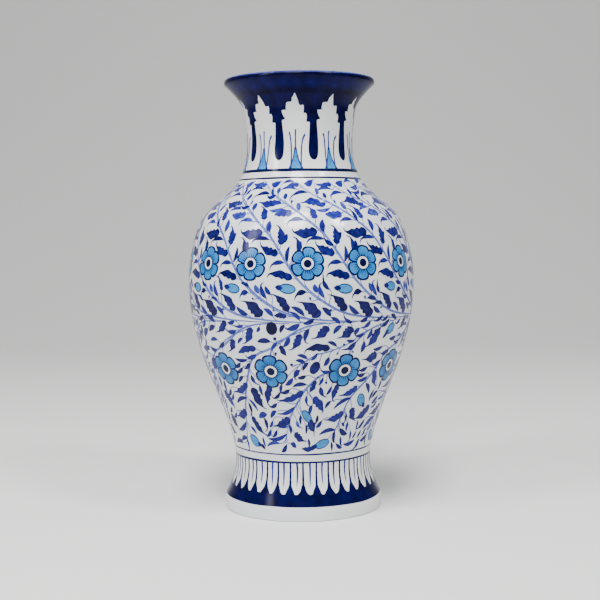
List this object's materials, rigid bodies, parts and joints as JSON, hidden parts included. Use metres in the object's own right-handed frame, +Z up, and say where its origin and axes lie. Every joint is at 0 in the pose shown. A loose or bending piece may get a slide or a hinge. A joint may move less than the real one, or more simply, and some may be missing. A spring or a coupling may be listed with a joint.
{
  "type": "pottery vase",
  "caption": "Tall footed pottery vase with a swelling belly, a narrow neck and a flared mouth, glazed white with painted blue flowers and leaves.",
  "frame": {"origin": "centre of the foot's standing ring, on the surface the vase stands on", "axes": "+Z up along the vase's axis of revolution, from foot to mouth; +X to the viewer's right and +Y away from the viewer of the painted front"},
  "size_m": [0.187, 0.187, 0.356],
  "materials": {
    "belly_clay": "glossy white glaze, painted blue under it",
    "neck_clay": "glossy white glaze, cobalt lip and white leaf points",
    "foot_clay": "glossy glaze outside, bare clay on the standing ring",
    "slip": "fired slip, matt"
  },
  "bodies": {
    "root": {"foot": "foot_clay", "foot_slip_joint": "slip", "lower_belly": "belly_clay", "belly_slip_joint": "slip", "upper_belly": "belly_clay", "neck_slip_joint": "slip", "neck": "neck_clay"}
  },
  "joints": []
}
